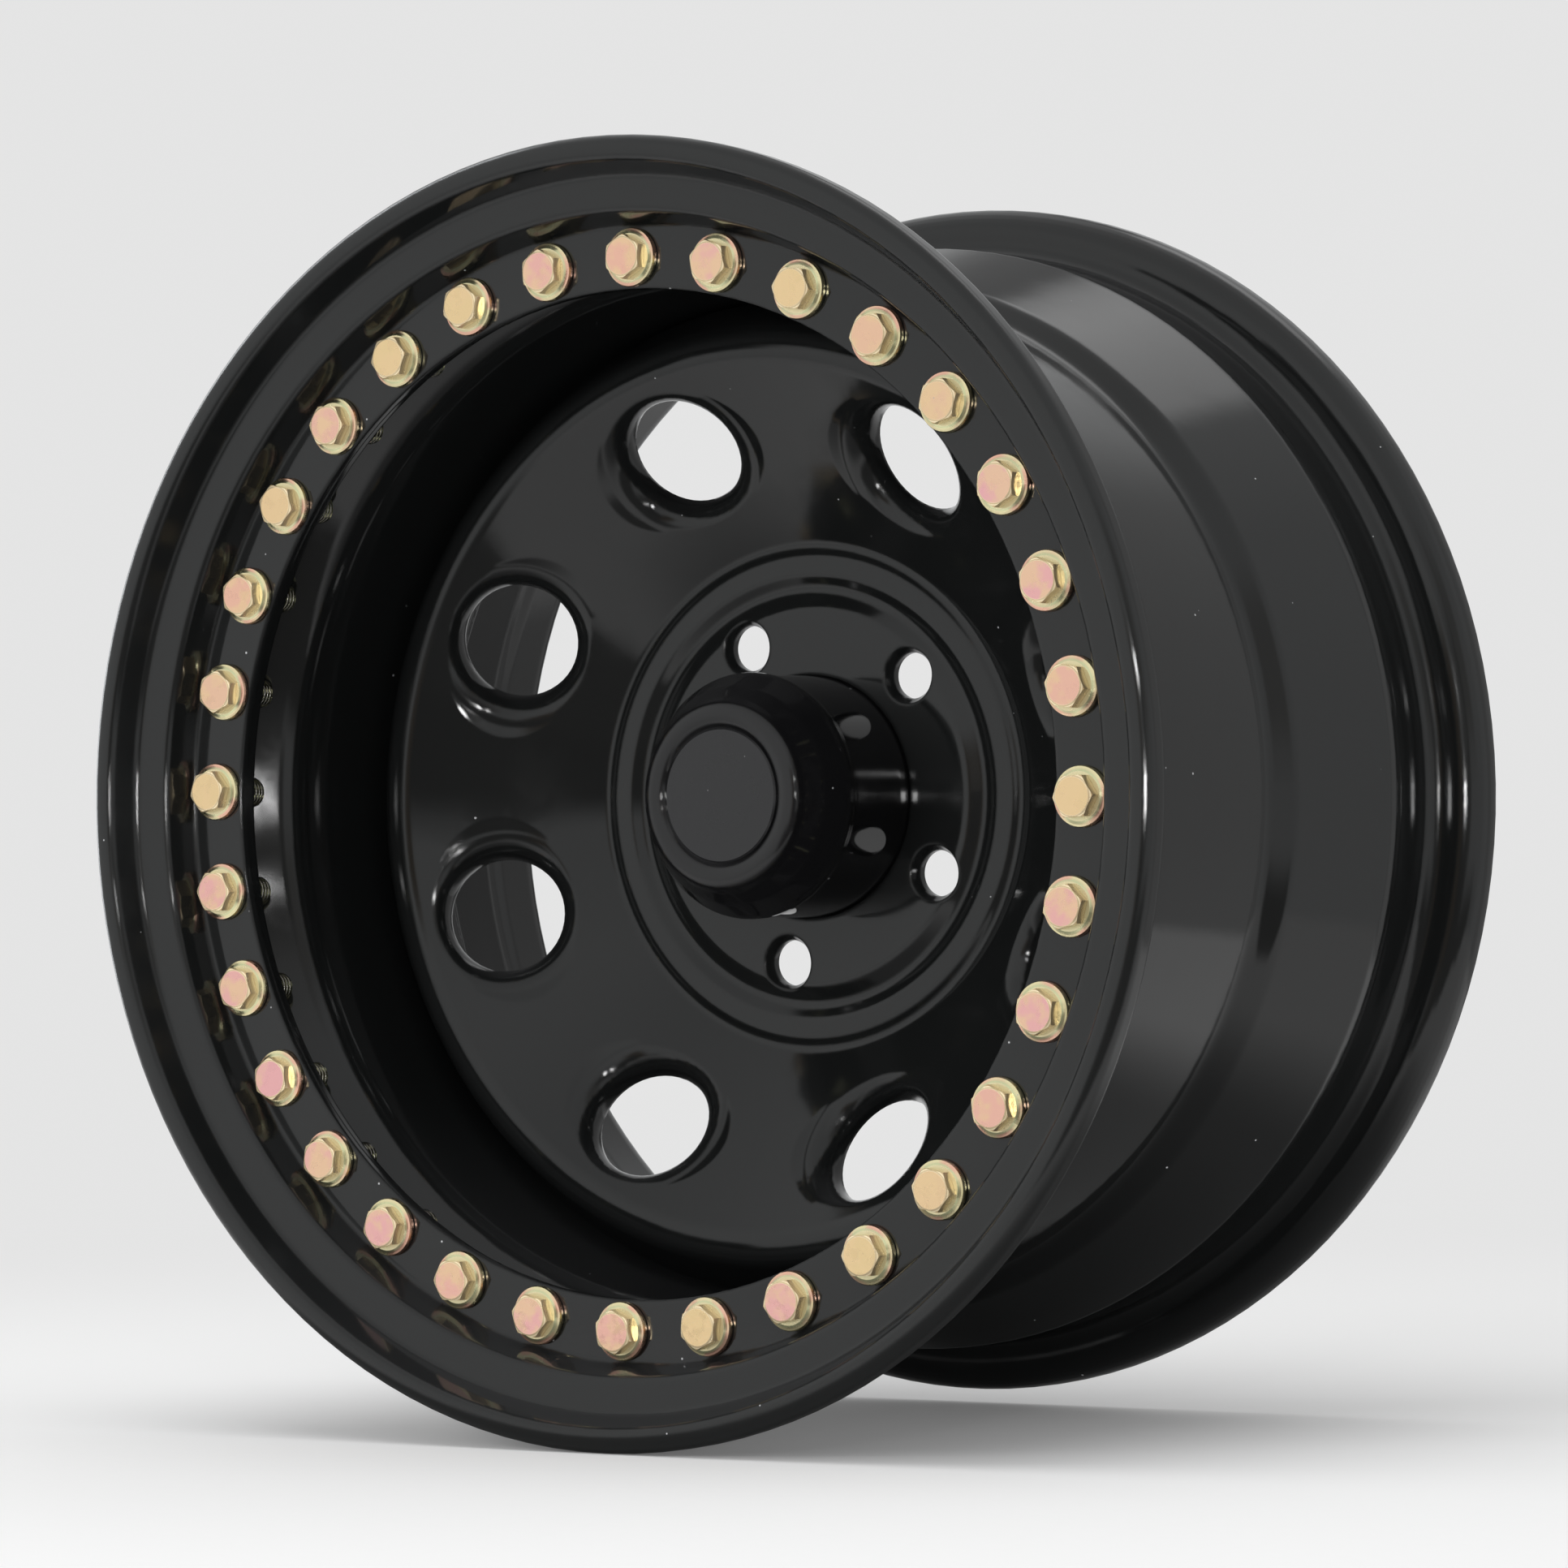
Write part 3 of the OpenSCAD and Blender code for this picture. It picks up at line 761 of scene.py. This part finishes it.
# Where the lamps stand, in metres: two from the origin, and two from the camera.
KEY_PLACE = Vector((0.1, -0.5, 2.6))
FILL_PLACE = Vector((-0.6, -2.4, 0.6))
FLASH_RISE = Vector((0, 0, 0.05))
UPPER_FLASH_RISE = Vector((0, 0, 0.46))
UPPER_FLASH_SHARE = 0.26

# Half the floor's side, and the sphere that only reflections see.
FLOOR_REACH = 60.0
SURROUND_RADIUS = 8.0
SURROUND_TINT = (0.985, 0.995, 1.0)

# The floor by distance from the origin: where reflections see a painted shadow on it near the wheel, and where
# it melts into the backdrop. Then the width of the cloth's grain and how dark it gets.
REFLECTED_SHADOW_BOUNDS = (0.36, 0.22)
REFLECTED_SHADOW_SHARE = 0.3
MELT_BOUNDS = (0.45, 1.5)
CLOTH_GRAIN = 6 * MM
CLOTH_SHADE = 0.985

# The table's straight front edge: the level way to it, and its distance from the origin.
TABLE_FRONT = (0.5745, -0.8182)
FRONT_EDGE = 0.34
FRONT_SOFTNESS = 1.12
EDGE_SOFTNESS = 1.15

# What the gloss paint mirrors: name, azimuth from the wheel's front, height, half width, half height and
# softness in degrees, level and hue. A later panel covers an earlier one.
REFLECTED_PANELS = (
    ("ceiling", 0, 90, 180, 26, 8, 0.60, (1.0, 1.0, 1.0)),
    ("lit wall", -20, 12, 42, 26, 12, 0.82, (0.99, 1.0, 1.0)),
    ("far wall", 152, 0, 23, 38, 9, 0.42, (1.0, 1.0, 1.0)),
    ("bookcase", 58, 20, 20, 13, 7, 0.42, (1.0, 0.98, 0.95)),
    ("wooden door", 12, -6, 6, 19, 4, 0.24, (1.0, 0.78, 0.58)),
    ("dark side of the room", 27, -10, 14, 13, 4, 0.12, (1.0, 0.98, 0.95)),
    ("dark corner", 44, 6, 8, 14, 5, 0.22, (1.0, 0.98, 0.95)),
    ("dark floor beyond the table", 40, -27, 46, 14, 5, 0.15, (1.0, 0.98, 0.95)),
    ("far wall's dark end", 185, -2, 11, 17, 5, 0.11, (1.0, 1.0, 1.0)),
    ("corner of the far wall", 208, 41, 8, 9, 5, 0.28, (1.0, 1.0, 1.0)),
    ("window", -101, 20, 6, 28, 3, 5.0, (0.94, 0.97, 1.0)),
    ("ceiling lamp", 178, 60, 28, 9, 5, 1.7, (1.0, 1.0, 1.0)),
)


def panel_mask(tree, place, azimuth, height, half_width, half_height, soft):
    """1 inside a soft-edged window on the sky, seen from the origin."""
    turn = tree.nodes.new("ShaderNodeVectorRotate")
    turn.rotation_type = "Z_AXIS"
    feed(tree, turn.inputs["Vector"], place)
    turn.inputs["Angle"].default_value = -math.radians(azimuth)
    unit = tree.nodes.new("ShaderNodeVectorMath")
    unit.operation = "NORMALIZE"
    feed(tree, unit.inputs[0], turn.outputs[0])
    x, y, z = coordinates_of(tree, unit.outputs[0])
    sideways = sum_of(tree, "ARCTAN2", x, product_of(tree, y, -1.0))
    upward = sum_of(tree, "SUBTRACT", sum_of(tree, "ARCSINE", z), math.radians(height))
    masks = []
    for angle, half in ((sideways, half_width), (upward, half_height)):
        outer, inner = math.radians(half) + math.radians(soft), math.radians(half) - math.radians(soft)
        masks.append(ramp_between(tree, sum_of(tree, "ABSOLUTE", angle), outer, inner))
    return product_of(tree, *masks)


def surround_material(level):
    """Emission of the surround that only reflections see."""
    material, tree, output = new_material("studio_surround")
    place = object_place(tree)
    colour = as_colour([level * tint for tint in SURROUND_TINT])
    for _, azimuth, height, half_width, half_height, soft, shine, hue in REFLECTED_PANELS:
        mask = panel_mask(tree, place, azimuth, height, half_width, half_height, soft)
        colour = blend_colours(tree, mask, colour, tuple(shine * c for c in hue))
    glow = tree.nodes.new("ShaderNodeEmission")
    feed(tree, glow.inputs["Color"], colour)
    feed(tree, output.inputs["Surface"], glow.outputs[0])
    return material


def grey(level):
    """A plain grey with its alpha."""
    return level, level, level, 1


def floor_material(pale, albedo, table_edge, lift):
    """Matt pale table that keeps the wheel's shadow, melts into the backdrop and ends early in reflections;
    near the wheel reflections see it darker, a painted shadow.
    """
    material, tree, output = new_material("studio_floor")
    place = object_place(tree)
    x, y, _ = coordinates_of(tree, place)
    away = reach_of(tree, x, y)
    cloth = noise(tree, place, CLOTH_GRAIN, 3.0)
    matt = tree.nodes.new("ShaderNodeBsdfDiffuse")
    feed(tree, matt.inputs["Color"], blend_colours(tree, cloth, grey(albedo * CLOTH_SHADE), grey(albedo)))
    glow = tree.nodes.new("ShaderNodeEmission")
    glow.inputs["Color"].default_value = grey(pale)
    glossy = tree.nodes.new("ShaderNodeLightPath").outputs["Is Glossy Ray"]
    bounce = tree.nodes.new("ShaderNodeEmission")
    feed(tree, bounce.inputs["Strength"], product_of(tree, lift, sum_of(tree, "SUBTRACT", 1.0, glossy)))
    lifted = tree.nodes.new("ShaderNodeAddShader")
    feed(tree, lifted.inputs[0], matt.outputs[0])
    feed(tree, lifted.inputs[1], bounce.outputs[0])
    # Near the wheel the floor that reflections see is a darker diffuse: a painted shadow of the wheel.
    painted_shadow = tree.nodes.new("ShaderNodeBsdfDiffuse")
    painted_shadow.inputs["Color"].default_value = grey(albedo * REFLECTED_SHADOW_SHARE)
    painted_shadow_share = product_of(tree, glossy, ramp_between(tree, away, *REFLECTED_SHADOW_BOUNDS))
    shaded = blend_shaders(tree, painted_shadow_share, lifted.outputs[0], painted_shadow.outputs[0])
    melted = blend_shaders(tree, ramp_between(tree, away, *MELT_BOUNDS), shaded, glow.outputs[0])
    ahead = sum_of(tree, "ADD", product_of(tree, x, TABLE_FRONT[0]), product_of(tree, y, TABLE_FRONT[1]))
    beyond = sum_of(tree, "MAXIMUM", ramp_between(tree, ahead, FRONT_EDGE, FRONT_EDGE * FRONT_SOFTNESS),
                    ramp_between(tree, away, table_edge, table_edge * EDGE_SOFTNESS))
    clear = tree.nodes.new("ShaderNodeBsdfTransparent").outputs[0]
    feed(tree, output.inputs["Surface"], blend_shaders(tree, product_of(tree, glossy, beyond), melted, clear))
    return material


def set_world(scene, pale, ambient):
    """Pale backdrop for the camera, reflections and glass, and a plain level for diffuse light."""
    world = bpy.data.worlds.new("studio")
    scene.world = world
    world.use_nodes = True
    tree = world.node_tree
    tree.nodes.clear()
    output = tree.nodes.new("ShaderNodeOutputWorld")
    rays = tree.nodes.new("ShaderNodeLightPath").outputs
    seen = sum_of(tree, "MAXIMUM", rays["Is Camera Ray"],
                  sum_of(tree, "MAXIMUM", rays["Is Glossy Ray"], rays["Is Transmission Ray"]))
    backgrounds = []
    for level in (ambient, pale):
        node = tree.nodes.new("ShaderNodeBackground")
        node.inputs["Color"].default_value = grey(level)
        backgrounds.append(node.outputs[0])
    feed(tree, output.inputs["Surface"], blend_shaders(tree, seen, *backgrounds))


def add_lamp(scene, name, place, target, width, height, power, glossy):
    """A soft round or oval lamp that looks at a point."""
    data = bpy.data.lights.new(name, "AREA")
    data.shape = "ELLIPSE"
    data.size = width
    data.size_y = height
    data.energy = power
    lamp = bpy.data.objects.new(name, data)
    scene.collection.objects.link(lamp)
    lamp.location = place
    lamp.rotation_euler = (target - place).to_track_quat("-Z", "Y").to_euler()
    lamp.visible_camera = False
    lamp.visible_glossy = glossy


class WHEEL_OT_set_studio(bpy.types.Operator):
    """Set the pale floor, the reflected surround, the lamps and the camera"""
    bl_idname = "wheel.set_studio"
    bl_label = "Set studio and camera"

    def execute(self, context):
        scene = context.scene
        studio = scene.wheel_studio
        scene.view_settings.view_transform = "Standard"

        floor_mesh = bpy.data.meshes.new("floor")
        corners = [(FLOOR_REACH * x, FLOOR_REACH * y, 0) for x, y in ((-1, -1), (1, -1), (1, 1), (-1, 1))]
        floor_mesh.from_pydata(corners, [], [(0, 1, 2, 3)])
        floor = bpy.data.objects.new("floor", floor_mesh)
        scene.collection.objects.link(floor)
        floor.location.z = CAD_BOX[0].z
        floor_mesh.materials.append(floor_material(
            studio.pale, studio.floor_albedo, studio.table_edge, studio.floor_lift))

        bpy.ops.mesh.primitive_uv_sphere_add(segments=48, ring_count=24, radius=SURROUND_RADIUS)
        surround = context.active_object
        surround.name = "surround"
        surround.data.materials.append(surround_material(studio.surround))
        surround.visible_camera = False
        surround.visible_diffuse = False
        surround.visible_shadow = False
        surround.visible_volume_scatter = False

        set_world(scene, studio.pale, studio.ambient)
        camera_place = Vector(studio.camera_place)
        middle = (CAD_BOX[0] + CAD_BOX[1]) / 2
        lamps = (
            ("key", KEY_PLACE, 2.4, 2.4, studio.key_power, False),
            ("fill", FILL_PLACE, 1.4, 1.4, studio.fill_power, False),
            ("flash", camera_place + FLASH_RISE, 0.10, 0.22, studio.flash_power, True),
            ("upper flash", camera_place + UPPER_FLASH_RISE, 0.08, 0.12,
             studio.flash_power * UPPER_FLASH_SHARE, True),
        )
        for name, place, width, height, power, glossy in lamps:
            add_lamp(scene, name, place, middle, width, height, power, glossy)

        camera = bpy.data.objects.new("camera", bpy.data.cameras.new("camera"))
        scene.collection.objects.link(camera)
        camera.data.sensor_width = SENSOR_WIDTH
        camera.data.lens = studio.lens
        camera.data.clip_start, camera.data.clip_end = CAMERA_CLIP
        turn = Matrix((CAMERA_RIGHT, -CAMERA_DOWN, -CAMERA_AHEAD)).transposed()
        camera.matrix_world = Matrix.Translation(camera_place) @ turn.to_4x4()
        scene.camera = camera
        return {"FINISHED"}


class WHEEL_PT_steps(bpy.types.Panel):
    """The wheel's finishing steps, in order"""
    bl_idname = "WHEEL_PT_steps"
    bl_label = "Wheel finish"
    bl_space_type = "VIEW_3D"
    bl_region_type = "UI"
    bl_category = "Wheel"

    def draw(self, context):
        for step in STEPS:
            self.layout.operator(step.bl_idname)
        for name, settings in SETTINGS:
            box = self.layout.box()
            group = getattr(context.scene, name)
            for key in settings.__annotations__:
                box.prop(group, key)


SETTINGS = (
    ("wheel_paint", WheelPaintSettings),
    ("wheel_bolts", WheelBoltSettings),
    ("wheel_welds", WheelWeldSettings),
    ("wheel_studio", WheelStudioSettings),
)
STEPS = (
    WHEEL_OT_paint_steel,
    WHEEL_OT_plate_bolts,
    WHEEL_OT_roll_threads,
    WHEEL_OT_lay_welds,
    WHEEL_OT_finish_cap,
    WHEEL_OT_set_studio,
)


def register():
    """Adds the settings, the steps and the panel to Blender."""
    for name, settings in SETTINGS:
        bpy.utils.register_class(settings)
        setattr(bpy.types.Scene, name, PointerProperty(type=settings))
    for step in STEPS:
        bpy.utils.register_class(step)
    bpy.utils.register_class(WHEEL_PT_steps)


def unregister():
    """Takes them away again."""
    bpy.utils.unregister_class(WHEEL_PT_steps)
    for step in reversed(STEPS):
        bpy.utils.unregister_class(step)
    for name, settings in reversed(SETTINGS):
        delattr(bpy.types.Scene, name)
        bpy.utils.unregister_class(settings)


def main():
    """Runs every step in order."""
    register()
    for step in STEPS:
        group, name = step.bl_idname.split(".")
        getattr(getattr(bpy.ops, group), name)()


if __name__ == "__main__":
    main()
